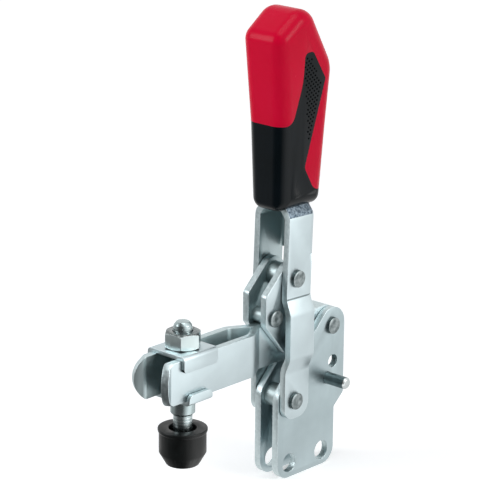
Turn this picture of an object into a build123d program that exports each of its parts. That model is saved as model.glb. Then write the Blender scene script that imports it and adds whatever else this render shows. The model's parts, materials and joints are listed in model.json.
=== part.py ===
"""Vertical toggle clamp with an open clamping arm, a vertical base and a safety grip.

Frame: X runs along the clamping arm, from the clamping spindle (-X) to the arm pivot (+X).
Y runs along the rivets, Z is up. The origin lies midway between the two mounting holes,
on the middle plane. Sizes are in millimetres. The clamp is modelled shut.
"""

from build123d import *
from math import acos, atan2, cos, degrees, hypot, pi, radians, sin, tan
import os

# ---------------------------------------------------------------- driving dimensions
# Linkage. Places are given from the lever pivot, the lowest rivet of the linkage.
lever_pivot_x = -10.2
lever_pivot_z = 27.6
arm_pivot_dx = 25.7
arm_pivot_dz = 24.9
link_pivot_dx = 0.3
link_pivot_dz = 51.3
over_centre = 0.6
lever_opening = 56.0

# Sheets and the gaps between the layers of the linkage.
arm_sheet = 3.0
base_sheet = 3.0
link_sheet = 3.0
lever_sheet = 2.7
layer_gap = 0.2
flange_gap = 0.3

# Rivets, bushes and the stop pin.
rivet_diameter = 6.0
rivet_head_diameter = 7.2
rivet_head_height = 1.4
rivet_head_chamfer = 0.4
head_gap = 0.1
running_clearance = 0.05
bush_diameter = 9.4
bush_end_gap = 0.05
stop_rivet_diameter = 4.4
spacer_diameter = 6.2
stop_contact_gap = 0.1
stop_rivet_dx = -9.5
stop_pin_diameter = 5.0
stop_pin_reach = 23.5
stop_pin_overhang = 10.6
stop_pin_chamfer = 0.8
spare_hole_diameter = 5.5
spare_hole_dx = 26.4
spare_hole_dz = 9.4

# Base plates.
hole_spacing = 19.6
hole_diameter = 8.0
foot_below_holes = 6.3
foot_rear_dx = 27.6
foot_corner_radius = 6.5
foot_top_dz = -10.6
ear_bottom_dz = -5.7
base_front_radius = 6.8
base_ear_radius = 7.6
base_notch_radius = 2.0

# Link plates.
link_top_radius = 6.5
link_end_radius = 6.0
link_nose_dx = -14.6
link_nose_top_dz = 47.4
link_nose_bottom_dz = 32.4
link_nose_radius = 2.2

# Handle lever, one formed channel that is open to the front.
lever_front_dx = -6.1
lever_rear_dx = 8.0
lever_below_pivot = 7.4
lever_front_corner = 5.0
lever_rear_corner = 6.0
lever_bend_radius = 4.5
lever_lean = 2.3
lean_start_dz = 37.0
web_rear_dx = 10.7
web_above_link_pivot = 8.5
bulge_depth = 2.5
bulge_low_start_dz = 13.0
bulge_low_end_dz = 18.8
bulge_high_start_dz = 37.0
bulge_high_end_dz = 43.0
neck_start_dz = 76.6
neck_end_dz = 80.8
neck_inset = 3.5
neck_top_dz = 138.0
joggle_radius = 5.2

# Clamping arm, two bars that lie together at the pivots and stand apart in front.
arm_height = 17.2
arm_drop = 0.4
arm_rear_reach = 7.0
arm_slot_width = 10.0
joggle_front_dx = -24.0
joggle_rear_dx = -16.0
flare_dx = -70.9
flare_angle = 30.0
flare_length = 4.4
arm_tip_radius = 10.0
arm_bend_radius = 4.5

# Saddles, nuts, spindle and cap.
spindle_dx = -55.3
spindle_diameter = 8.0
thread_clearance = 0.06
saddle_sheet = 1.7
saddle_side_gap = 0.15
saddle_seat_gap = 0.05
upper_saddle_length = 18.6
upper_saddle_drop = 4.8
upper_saddle_corner = 1.5
lower_saddle_length = 13.0
lower_saddle_rise = 2.8
lower_saddle_corner = 2.6
saddle_bend_radius = 0.15
nut_across_flats = 13.0
nut_height = 6.5
nut_chamfer_angle = 30.0
nut_face_share = 0.95
nut_turn = 38.0
collar_diameter = 9.8
collar_height = 6.6
collar_chamfer = 0.8
spindle_above_nut = 3.8
spindle_dome = 1.6
spindle_end_diameter = 5.0
cap_top_dz = 1.8
cap_lip_diameter = 19.5
cap_diameter = 18.6
cap_lip_height = 1.7
cap_side_height = 9.9
cap_height = 15.0
cap_tip_diameter = 12.8
cap_tip_radius = 0.8
cap_mouth_diameter = 11.0
cap_mouth_depth = 5.5
cap_floor = 4.0
foot_diameter = 13.5

# Grip, a hard core with a soft sleeve moulded over it.
# Each corner of the side outlines is an offset in X and Z from the lever pivot and a radius.
grip_bottom_dz = 79.2
grip_width_low = 17.8
grip_width_high = 21.0
grip_width_high_dz = 140.0
grip_edge_radius = 5.5
grip_corners = [
    (-9.4, grip_bottom_dz, 3.6),
    (-10.3, 113.0, 60.0),
    (-13.4, 150.0, 6.0),
    (4.2, 162.3, 8.0),
    (20.1, 135.6, 13.0),
    (17.9, 112.0, 60.0),
    (15.4, grip_bottom_dz, 3.6),
]
sleeve_wall = 2.0
sleeve_front_dz = 114.3
sleeve_rear_dz = 85.8
sleeve_panel_corners = [
    (-4.6, sleeve_front_dz, 5.5),
    (0.9, 131.0, 30.0),
    (1.4, 142.2, 2.2),
    (6.2, 142.2, 2.2),
    (13.9, 130.4, 1.5),
    (3.4, 96.0, 3.0),
    (9.5, sleeve_rear_dz, 5.0),
]

# ---------------------------------------------------------------- derived places
SIDE = Plane.XZ  # local x is X, local y is Z, its normal points to the near side (-Y)
FAR = 400.0  # larger than the clamp, for cuts that run right through


def place(dx, dz):
    """Turn an offset from the lever pivot into X and Z of the clamp's frame."""
    return (lever_pivot_x + dx, lever_pivot_z + dz)


lever_pivot = place(0, 0)
arm_pivot = place(arm_pivot_dx, arm_pivot_dz)
link_pivot = place(link_pivot_dx, link_pivot_dz)
dead_centre_dx = link_pivot_dx * arm_pivot_dz / link_pivot_dz
arm_link_pivot = place(dead_centre_dx + over_centre, arm_pivot_dz)
arm_middle = arm_pivot[1] - arm_drop
arm_top = arm_middle + arm_height / 2
arm_bottom = arm_middle - arm_height / 2
stop_rivet = (lever_pivot_x + stop_rivet_dx, arm_top + stop_contact_gap + spacer_diameter / 2)
spindle_x = lever_pivot_x + spindle_dx

# Layers, as distances from the middle plane.
base_inner = arm_sheet + layer_gap
base_outer = base_inner + base_sheet
link_outer = base_inner + link_sheet
lever_inner = max(base_outer, link_outer) + flange_gap
lever_outer = lever_inner + lever_sheet
bar_inner = arm_slot_width / 2
bar_outer = bar_inner + arm_sheet

# The stop pin stands where the rear edges of the open lever meet it.
stop_lean = acos((lever_rear_dx + stop_pin_diameter / 2 + stop_contact_gap) / stop_pin_reach)
stop_bearing = stop_lean - radians(lever_opening)
stop_pin_place = place(stop_pin_reach * cos(stop_bearing), stop_pin_reach * sin(stop_bearing))


def turn(point, angle):
    """Turn an X, Z offset about +Y, which swings +Z towards +X."""
    x, z = point
    return (x * cos(angle) + z * sin(angle), z * cos(angle) - x * sin(angle))


def linkage_angles(opening):
    """Degrees that the link and the arm have turned once the lever has opened by opening."""
    apex = turn((link_pivot_dx, link_pivot_dz), radians(opening))
    pin = (dead_centre_dx + over_centre, arm_pivot_dz)
    link_length = hypot(link_pivot_dx - pin[0], link_pivot_dz - pin[1])
    arm_length = hypot(pin[0] - arm_pivot_dx, pin[1] - arm_pivot_dz)
    across = (arm_pivot_dx - apex[0], arm_pivot_dz - apex[1])
    span = hypot(*across)
    along = (link_length**2 - arm_length**2 + span**2) / (2 * span)
    rise = (link_length**2 - along**2) ** 0.5
    unit = (across[0] / span, across[1] / span)
    moved = (apex[0] + along * unit[0] + rise * unit[1], apex[1] + along * unit[1] - rise * unit[0])

    def bearing(tip, root):
        """Angle of the line from root to tip, positive about +Y."""
        return atan2(root[1] - tip[1], tip[0] - root[0])

    link_turn = bearing(moved, apex) - bearing(pin, (link_pivot_dx, link_pivot_dz))
    arm_turn = bearing(moved, (arm_pivot_dx, arm_pivot_dz)) - bearing(pin, (arm_pivot_dx, arm_pivot_dz))
    return degrees(link_turn) % 360, degrees(arm_turn) % 360


def headed_rivet(at, reach, diameter):
    """Rivet along Y through the point at, with a flat round head outside reach on both sides."""
    with BuildPart() as rivet:
        with BuildSketch(SIDE):
            with Locations(at):
                Circle(diameter / 2)
        extrude(amount=reach, both=True)
        for side in (1, -1):
            with BuildSketch(SIDE.offset(side * reach)):
                with Locations(at):
                    Circle(rivet_head_diameter / 2)
            extrude(amount=side * rivet_head_height)
            rim = rivet.faces().sort_by(Axis.Y)[0 if side > 0 else -1].edges()
            chamfer(rim, rivet_head_chamfer)
    return rivet.part


def spacer_bush(at, outer, bore):
    """Plain bush that keeps the two outer plates apart."""
    with BuildPart() as bush:
        with BuildSketch(SIDE):
            with Locations(at):
                Circle(outer / 2)
                Circle(bore / 2, mode=Mode.SUBTRACT)
        extrude(amount=base_inner - bush_end_gap, both=True)
    return bush.part


def save(part, name):
    """Label a finished piece and write its STEP file."""
    part.label = name
    export_step(part, f"parts/{name}.step")


os.makedirs("parts", exist_ok=True)

# ---------------------------------------------------------------- base
foot_bottom = -foot_below_holes
foot_front = lever_pivot_x - base_front_radius
foot_rear = lever_pivot_x + foot_rear_dx
foot_top = lever_pivot_z + foot_top_dz
ear_rear = arm_pivot[0] + base_ear_radius
mounting_holes = [(-hole_spacing / 2, 0), (hole_spacing / 2, 0)]
spare_hole = place(spare_hole_dx, spare_hole_dz)

with BuildPart() as base_plate_near:
    with BuildSketch(SIDE.offset(base_inner)):
        with BuildLine():
            CenterArc(lever_pivot, base_front_radius, 0, 360)
            CenterArc(arm_pivot, base_ear_radius, 0, 360)
            Line((ear_rear, arm_pivot[1]), (ear_rear, lever_pivot_z + ear_bottom_dz))
            Line((foot_front, foot_top), (foot_rear, foot_top))
        make_hull()
        with Locations(((foot_front + foot_rear) / 2, (foot_bottom + foot_top) / 2)):
            Rectangle(foot_rear - foot_front, foot_top - foot_bottom)
    extrude(amount=base_sheet)
    upright = base_plate_near.edges().filter_by(Axis.Y)
    fillet(upright.group_by(Axis.Z)[0], foot_corner_radius)
    notch = [
        edge
        for edge in base_plate_near.edges().filter_by(Axis.Y)
        if abs(edge.center().Z - foot_top) < 0.01 and edge.center().X > 0
        or abs(edge.center().Z - lever_pivot_z - ear_bottom_dz) < 0.01
    ]
    fillet(notch, base_notch_radius)
    with BuildSketch(SIDE.offset(base_inner)):
        with Locations(lever_pivot, arm_pivot):
            Circle(rivet_diameter / 2)
        with Locations(stop_pin_place):
            Circle(stop_pin_diameter / 2)
        with Locations(spare_hole):
            Circle(spare_hole_diameter / 2)
        with Locations(*mounting_holes):
            Circle(hole_diameter / 2)
    extrude(amount=base_sheet, mode=Mode.SUBTRACT)
save(base_plate_near.part, "base_plate_near")

with BuildPart() as base_plate_far:
    mirror(base_plate_near.part, about=Plane.XZ)
save(base_plate_far.part, "base_plate_far")

lever_pivot_rivet = headed_rivet(lever_pivot, lever_outer + head_gap, rivet_diameter)
save(lever_pivot_rivet, "lever_pivot_rivet")
save(spacer_bush(lever_pivot, bush_diameter, rivet_diameter), "base_bush")

# The arm pivot rivet is parted at the faces of the arm, because the linkage is opened there:
# its headed ends stay in the base ears and its core turns with the arm.
arm_core_reach = arm_sheet
with BuildPart() as arm_pivot_rivet:
    add(headed_rivet(arm_pivot, base_outer, rivet_diameter))
    with BuildSketch(SIDE):
        with Locations(arm_pivot):
            Circle(rivet_head_diameter)
    extrude(amount=base_inner, both=True, mode=Mode.SUBTRACT)
save(arm_pivot_rivet.part, "arm_pivot_rivet")

with BuildPart() as stop_pin:
    with BuildSketch(SIDE):
        with Locations(stop_pin_place):
            Circle(stop_pin_diameter / 2)
    extrude(amount=base_outer + stop_pin_overhang, both=True)
    chamfer(stop_pin.edges().filter_by(GeomType.CIRCLE), stop_pin_chamfer)
save(stop_pin.part, "stop_pin")

# ---------------------------------------------------------------- clamping arm
flare_turn = radians(flare_angle)
flare_corner = (lever_pivot_x + flare_dx, bar_inner)
arm_rear = arm_pivot[0] + arm_rear_reach
arm_path = [
    (arm_rear, 0),
    (lever_pivot_x + joggle_rear_dx, 0),
    (lever_pivot_x + joggle_front_dx, bar_inner),
    flare_corner,
    (
        flare_corner[0] - flare_length * cos(flare_turn),
        flare_corner[1] + flare_length * sin(flare_turn),
    ),
]
# The tip is rounded square to the flared sheet, about a point one tip radius from its end.
round_setback = flare_length - arm_tip_radius
tip_plane = Plane(
    origin=(
        flare_corner[0] - round_setback * cos(flare_turn),
        -flare_corner[1] - round_setback * sin(flare_turn),
        arm_middle,
    ),
    x_dir=(-cos(flare_turn), -sin(flare_turn), 0),
    z_dir=(-sin(flare_turn), cos(flare_turn), 0),
)
with BuildPart() as arm_bar_near:
    with BuildSketch(Plane.XY.offset(arm_bottom)):
        with BuildLine():
            FilletPolyline(*[(x, -y) for x, y in arm_path], radius=arm_bend_radius)
            offset(amount=arm_sheet, side=Side.LEFT)
        make_face()
    extrude(amount=arm_height)
    with BuildSketch(SIDE):
        with Locations((arm_rear - arm_height / 2, arm_middle)):
            Circle(arm_height / 2)
            Rectangle(FAR, arm_height, align=(Align.MAX, Align.CENTER))
        with Locations(arm_pivot):
            Circle(rivet_diameter / 2, mode=Mode.SUBTRACT)
        with Locations(arm_link_pivot):
            Circle(rivet_diameter / 2 + running_clearance, mode=Mode.SUBTRACT)
    extrude(amount=FAR, both=True, mode=Mode.INTERSECT)
    with BuildSketch(tip_plane):
        Rectangle(2 * arm_tip_radius, 2 * arm_height, align=(Align.MIN, Align.CENTER))
        Circle(arm_tip_radius, mode=Mode.SUBTRACT)
    extrude(amount=arm_height, both=True, mode=Mode.SUBTRACT)
save(arm_bar_near.part, "arm_bar_near")

with BuildPart() as arm_bar_far:
    mirror(arm_bar_near.part, about=Plane.XZ)
save(arm_bar_far.part, "arm_bar_far")

with BuildPart() as arm_pivot_core:
    with BuildSketch(SIDE):
        with Locations(arm_pivot):
            Circle(rivet_diameter / 2)
    extrude(amount=arm_core_reach, both=True)
save(arm_pivot_core.part, "arm_pivot_core")

# ---------------------------------------------------------------- link
nose_x = lever_pivot_x + link_nose_dx + link_nose_radius
nose_top = (nose_x, lever_pivot_z + link_nose_top_dz - link_nose_radius)
nose_bottom = (nose_x, lever_pivot_z + link_nose_bottom_dz + link_nose_radius)
with BuildPart() as link_plate_near:
    with BuildSketch(SIDE.offset(base_inner)):
        with BuildLine():
            CenterArc(link_pivot, link_top_radius, 0, 360)
            CenterArc(arm_link_pivot, link_end_radius, 0, 360)
            CenterArc(nose_top, link_nose_radius, 0, 360)
            CenterArc(nose_bottom, link_nose_radius, 0, 360)
        make_hull()
        with Locations(link_pivot):
            Circle(rivet_diameter / 2 + running_clearance, mode=Mode.SUBTRACT)
        with Locations(arm_link_pivot):
            Circle(rivet_diameter / 2, mode=Mode.SUBTRACT)
        with Locations(stop_rivet):
            Circle(stop_rivet_diameter / 2, mode=Mode.SUBTRACT)
    extrude(amount=link_sheet)
save(link_plate_near.part, "link_plate_near")

with BuildPart() as link_plate_far:
    mirror(link_plate_near.part, about=Plane.XZ)
save(link_plate_far.part, "link_plate_far")

save(headed_rivet(arm_link_pivot, link_outer, rivet_diameter), "arm_link_rivet")
save(headed_rivet(stop_rivet, link_outer, stop_rivet_diameter), "stop_rivet")
save(spacer_bush(stop_rivet, spacer_diameter, stop_rivet_diameter), "stop_spacer")
link_bore = rivet_diameter + 2 * running_clearance
save(spacer_bush(link_pivot, bush_diameter, link_bore), "link_top_bush")

# ---------------------------------------------------------------- handle lever
# Half widths of the channel's outer faces, from its lower end to the top of its neck.
lever_stations = [
    (lever_outer, -FAR),
    (lever_outer, lever_pivot_z + bulge_low_start_dz),
    (lever_outer + bulge_depth, lever_pivot_z + bulge_low_end_dz),
    (lever_outer + bulge_depth, lever_pivot_z + bulge_high_start_dz),
    (lever_outer, lever_pivot_z + bulge_high_end_dz),
    (lever_outer, lever_pivot_z + neck_start_dz),
    (lever_outer - neck_inset, lever_pivot_z + neck_end_dz),
    (lever_outer - neck_inset, FAR),
]
lever_front = lever_pivot_x + lever_front_dx
lever_rear = lever_pivot_x + lever_rear_dx
lever_bottom = lever_pivot_z - lever_below_pivot
neck_top = lever_pivot_z + neck_top_dz
lean_start = lever_pivot_z + lean_start_dz
lean_slope = tan(radians(lever_lean))
web_bottom = link_pivot[1] + web_above_link_pivot
web_bottom_rear = lever_rear + (web_bottom - lean_start) * lean_slope
web_plane = Plane(
    origin=(lever_pivot_x + web_rear_dx - lean_start * lean_slope, 0, 0),
    x_dir=(0, 1, 0),
    z_dir=(cos(radians(lever_lean)), 0, -sin(radians(lever_lean))),
)
lever_side = [
    (lever_front, lever_bottom),
    (lever_front, lean_start),
    (lever_front + (neck_top - lean_start) * lean_slope, neck_top),
    (FAR, neck_top),
    (FAR, web_bottom),
    (web_bottom_rear, web_bottom),
    (lever_rear, lean_start),
    (lever_rear, lever_bottom),
]


def channel_section(plane, inset):
    """Outline of the channel along its length on a plane across it, moved inwards by inset."""
    with BuildSketch(plane) as section:
        with BuildLine():
            FilletPolyline(*lever_stations, radius=joggle_radius)
            FilletPolyline(*[(-y, z) for y, z in lever_stations], radius=joggle_radius)
            Line(lever_stations[0], (-lever_stations[0][0], lever_stations[0][1]))
            Line(lever_stations[-1], (-lever_stations[-1][0], lever_stations[-1][1]))
        make_face()
        if inset:
            offset(amount=-inset)
    return section.sketch


def channel_body(inset):
    """Solid form of the channel, moved inwards by inset, with its rear bends above the web's edge."""
    section = channel_section(web_plane.offset(-inset), inset)
    straight_section = channel_section(Plane.YZ, inset)
    with BuildPart() as straight:
        extrude(straight_section, amount=FAR, both=True)
        with BuildSketch(SIDE):
            with Locations((0, web_bottom)):
                Rectangle(2 * FAR, FAR, align=(Align.CENTER, Align.MAX))
        extrude(amount=FAR, both=True, mode=Mode.INTERSECT)
    with BuildPart() as body:
        extrude(section, amount=-FAR)
        fillet(body.faces().sort_by(Axis.X)[-1].edges(), lever_bend_radius - inset)
        add(straight.part)
    return body.part


channel_outside = channel_body(0)
channel_inside = channel_body(lever_sheet)
with BuildPart() as handle_lever:
    add(channel_outside)
    with BuildSketch(SIDE):
        with BuildLine():
            Polyline(*lever_side, close=True)
        make_face()
    extrude(amount=FAR, both=True, mode=Mode.INTERSECT)
    add(channel_inside, mode=Mode.SUBTRACT)
    corners = handle_lever.edges().filter_by(Axis.Y).group_by(Axis.Z)[0].group_by(Axis.X)
    fillet(corners[0], lever_front_corner)
    fillet(corners[-1], lever_rear_corner)
    with BuildSketch(SIDE):
        with Locations(lever_pivot):
            Circle(rivet_diameter / 2 + running_clearance)
        with Locations(link_pivot):
            Circle(rivet_diameter / 2)
    extrude(amount=FAR, both=True, mode=Mode.SUBTRACT)
save(handle_lever.part, "handle_lever")

save(headed_rivet(link_pivot, lever_outer, rivet_diameter), "link_pivot_rivet")

# ---------------------------------------------------------------- grip
grip_bottom = lever_pivot_z + grip_bottom_dz
grip_spread = (grip_width_high - grip_width_low) / 2 / (grip_width_high_dz - grip_bottom_dz)


def side_outline(corners, inset=0.0):
    """Closed side outline through corners of (dx, dz, radius), moved inwards by inset."""
    with BuildSketch(SIDE) as outline:
        with BuildLine():
            FilletPolyline(
                *[place(dx, dz) for dx, dz, _ in corners],
                radius=[radius for _, _, radius in corners],
                close=True,
            )
        make_face()
        if inset:
            offset(amount=-inset)
    return outline.sketch


def grip_form(inset):
    """Body of the grip, moved inwards by inset on every side."""
    low = grip_width_low / 2 - inset
    outline = side_outline(grip_corners, inset)
    with BuildPart() as form:
        extrude(outline, amount=grip_width_high, both=True)
        with BuildSketch(Plane.YZ.offset(lever_pivot_x)):
            with BuildLine():
                Polyline(
                    (low, grip_bottom),
                    (low + grip_spread * FAR, grip_bottom + FAR),
                    (-low - grip_spread * FAR, grip_bottom + FAR),
                    (-low, grip_bottom),
                    close=True,
                )
            make_face()
        extrude(amount=FAR, both=True, mode=Mode.INTERSECT)
        sides = form.faces().sort_by(Axis.Y)
        fillet(sides[0].edges() + sides[-1].edges(), grip_edge_radius - inset)
    return form.part


sleeve_corners = [
    (-FAR, sleeve_front_dz, 0.0),
    *sleeve_panel_corners,
    (FAR, sleeve_rear_dz, 0.0),
    (FAR, grip_bottom_dz - FAR, 0.0),
    (-FAR, grip_bottom_dz - FAR, 0.0),
]
grip_body = grip_form(0)
sleeve_region = side_outline(sleeve_corners)
with BuildPart() as grip_sleeve:
    extrude(sleeve_region, amount=grip_width_high, both=True)
    add(grip_body, mode=Mode.INTERSECT)
    add(grip_form(sleeve_wall), mode=Mode.SUBTRACT)
    add(handle_lever.part, mode=Mode.SUBTRACT)
save(grip_sleeve.part, "grip_sleeve")

with BuildPart() as grip_core:
    add(grip_body)
    add(grip_sleeve.part, mode=Mode.SUBTRACT)
    add(handle_lever.part, mode=Mode.SUBTRACT)
save(grip_core.part, "grip_core")

# ---------------------------------------------------------------- saddles and nuts
saddle_half_width = bar_outer + saddle_side_gap + saddle_sheet
upper_saddle_top = arm_top + saddle_seat_gap + saddle_sheet
lower_saddle_bottom = arm_bottom - saddle_seat_gap - saddle_sheet
thread_bore = spindle_diameter + 2 * thread_clearance


def saddle(face_z, edge_z, length, corner):
    """Channel across the bars, from its outer face at face_z to its edges at edge_z."""
    with BuildPart() as channel:
        with BuildSketch(Plane.YZ.offset(spindle_x)):
            with BuildLine():
                FilletPolyline(
                    (-saddle_half_width, edge_z),
                    (-saddle_half_width, face_z),
                    (saddle_half_width, face_z),
                    (saddle_half_width, edge_z),
                    radius=saddle_bend_radius + saddle_sheet,
                )
                offset(amount=saddle_sheet, side=Side.RIGHT if face_z > edge_z else Side.LEFT)
            make_face()
        extrude(amount=length / 2, both=True)
        ends = channel.edges().filter_by(Axis.Y).group_by(Axis.Z)
        fillet(ends[0] if face_z > edge_z else ends[-1], corner)
        with BuildSketch(Plane.XY.offset(face_z)):
            with Locations((spindle_x, 0)):
                Circle(thread_bore / 2 + saddle_side_gap)
        extrude(amount=2 * saddle_sheet, both=True, mode=Mode.SUBTRACT)
    return channel.part


upper_saddle = saddle(
    upper_saddle_top, arm_top - upper_saddle_drop, upper_saddle_length, upper_saddle_corner
)
save(upper_saddle, "upper_saddle")
lower_saddle = saddle(
    lower_saddle_bottom, arm_bottom + lower_saddle_rise, lower_saddle_length, lower_saddle_corner
)
save(lower_saddle, "lower_saddle")

nut_sides = 6
nut_corner_radius = nut_across_flats / 2 / cos(pi / nut_sides)
nut_chamfer_run = nut_corner_radius - nut_across_flats / 2 * nut_face_share
nut_slope = tan(radians(nut_chamfer_angle))
with BuildPart() as hex_nut:
    with BuildSketch(Plane.XY.offset(upper_saddle_top)):
        with Locations((spindle_x, 0)):
            Circle(nut_corner_radius)
    extrude(amount=nut_height)
    chamfer(hex_nut.edges(), nut_chamfer_run * nut_slope, nut_chamfer_run)
    with BuildSketch(Plane.XY.offset(upper_saddle_top)):
        with Locations((spindle_x, 0)):
            RegularPolygon(nut_across_flats / 2, nut_sides, major_radius=False, rotation=nut_turn)
            Circle(thread_bore / 2, mode=Mode.SUBTRACT)
    extrude(amount=nut_height, mode=Mode.INTERSECT)
save(hex_nut.part, "hex_nut")

with BuildPart() as collar_nut:
    with BuildSketch(Plane.XY.offset(lower_saddle_bottom)):
        with Locations((spindle_x, 0)):
            Circle(collar_diameter / 2)
            Circle(thread_bore / 2, mode=Mode.SUBTRACT)
    extrude(amount=-collar_height)
    lower_rim = collar_nut.edges().filter_by(GeomType.CIRCLE).group_by(Axis.Z)[0]
    chamfer(lower_rim.sort_by(SortBy.RADIUS)[-1], collar_chamfer)
save(collar_nut.part, "collar_nut")

# ---------------------------------------------------------------- spindle and cap
cap_top = lever_pivot_z + cap_top_dz
cap_bottom = cap_top - cap_height
foot_low = cap_bottom + cap_floor
foot_high = cap_top - cap_mouth_depth
spindle_top = upper_saddle_top + nut_height + spindle_above_nut
turning_plane = Plane(origin=(spindle_x, 0, 0), x_dir=(1, 0, 0), z_dir=(0, -1, 0))
turning_axis = Axis((spindle_x, 0, 0), (0, 0, 1))

with BuildPart() as clamping_spindle:
    with BuildSketch(turning_plane):
        with BuildLine():
            Polyline(
                (0, foot_low),
                (foot_diameter / 2, foot_low),
                (foot_diameter / 2, foot_high),
                (spindle_diameter / 2, foot_high),
                (spindle_diameter / 2, spindle_top - spindle_dome),
                (spindle_end_diameter / 2, spindle_top),
                (0, spindle_top),
                close=True,
            )
        make_face()
    revolve(axis=turning_axis)
save(clamping_spindle.part, "clamping_spindle")

lip_undercut = (cap_lip_diameter - cap_diameter) / 2
with BuildPart() as rubber_cap:
    with BuildSketch(turning_plane):
        with BuildLine():
            Polyline(
                (0, cap_bottom),
                (cap_tip_diameter / 2, cap_bottom),
                (cap_diameter / 2, cap_top - cap_side_height),
                (cap_diameter / 2, cap_top - cap_lip_height),
                (cap_lip_diameter / 2, cap_top - cap_lip_height + lip_undercut),
                (cap_lip_diameter / 2, cap_top),
                (cap_mouth_diameter / 2, cap_top),
                (cap_mouth_diameter / 2, foot_high),
                (foot_diameter / 2, foot_high),
                (foot_diameter / 2, foot_low),
                (0, foot_low),
                close=True,
            )
        make_face()
    revolve(axis=turning_axis)
    bottom_rim = rubber_cap.edges().filter_by(GeomType.CIRCLE).group_by(Axis.Z)[0]
    fillet(bottom_rim, cap_tip_radius)
save(rubber_cap.part, "rubber_cap")
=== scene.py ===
"""Dressed scene of a vertical toggle clamp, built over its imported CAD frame.

Everything is in metres in the CAD's own frame: X along the clamping arm, Y along the
rivets, Z up, with the origin midway between the two mounting holes of the base.
"""

import json
import logging
import math
from dataclasses import dataclass, field, replace
from enum import Enum
from functools import partial
from typing import Callable, Sequence

import bmesh
import bpy
from bmesh.types import BMesh
from bpy.types import Material, Mesh, Node, NodeOutputs, NodeSocket, NodeTree, Object
from mathutils import Matrix, Vector

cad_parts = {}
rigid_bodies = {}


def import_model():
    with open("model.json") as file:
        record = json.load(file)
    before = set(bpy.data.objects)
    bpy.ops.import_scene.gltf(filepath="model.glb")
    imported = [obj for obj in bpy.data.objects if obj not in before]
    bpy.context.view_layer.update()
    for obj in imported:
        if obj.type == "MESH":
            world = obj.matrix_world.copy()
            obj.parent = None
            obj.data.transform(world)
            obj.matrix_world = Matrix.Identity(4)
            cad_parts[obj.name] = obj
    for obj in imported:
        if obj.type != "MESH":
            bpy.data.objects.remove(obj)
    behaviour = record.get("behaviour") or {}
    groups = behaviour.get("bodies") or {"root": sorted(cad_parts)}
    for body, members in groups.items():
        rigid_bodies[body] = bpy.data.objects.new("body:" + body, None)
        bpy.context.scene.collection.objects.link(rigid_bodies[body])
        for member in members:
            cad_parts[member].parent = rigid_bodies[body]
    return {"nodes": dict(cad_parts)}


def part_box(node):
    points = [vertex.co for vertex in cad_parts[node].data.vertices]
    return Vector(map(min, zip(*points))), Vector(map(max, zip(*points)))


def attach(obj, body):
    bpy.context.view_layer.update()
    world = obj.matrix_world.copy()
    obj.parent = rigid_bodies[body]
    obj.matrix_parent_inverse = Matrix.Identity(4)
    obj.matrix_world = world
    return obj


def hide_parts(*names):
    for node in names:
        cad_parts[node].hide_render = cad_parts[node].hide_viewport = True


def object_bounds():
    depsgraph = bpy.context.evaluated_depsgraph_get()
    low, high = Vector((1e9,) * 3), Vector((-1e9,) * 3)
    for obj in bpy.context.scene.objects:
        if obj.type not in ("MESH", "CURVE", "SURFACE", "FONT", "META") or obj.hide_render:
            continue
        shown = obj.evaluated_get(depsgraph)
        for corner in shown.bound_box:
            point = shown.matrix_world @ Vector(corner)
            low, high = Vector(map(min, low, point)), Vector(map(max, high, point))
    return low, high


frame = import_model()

CAD_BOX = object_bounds()
MM = 0.001
AXIS_Y = Vector((0.0, 1.0, 0.0))
AXIS_Z = Vector((0.0, 0.0, 1.0))
SIDES = {"near": -1.0, "far": 1.0}
FACING = "facing"
LOG = logging.getLogger("toggle_clamp")

Colour = tuple[float, float, float]
Corner = tuple[float, float, float]
FacePick = Callable[[Vector, Vector], int]
Feeds = dict[str | int, object]

# Least part of a face's unit normal along an axis, for a face that counts as turned that way
LEANING = 0.3
MOSTLY = 0.5
STEEPLY = 0.75
NEARLY = 0.9


class Body(Enum):
    """Rigid bodies of the clamp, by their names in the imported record."""

    BASE = "base"
    LEVER = "lever"
    LINK = "link"
    ARM = "arm"
    CARRIAGE = "carriage"
    SPINDLE = "spindle"


class Slot(Enum):
    """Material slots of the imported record."""

    SHEET = "zinc_steel"
    TURNED = "bright_steel"
    DARK = "dark_steel"
    RED = "red_plastic"
    BLACK = "black_plastic"
    RUBBER = "rubber"


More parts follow.
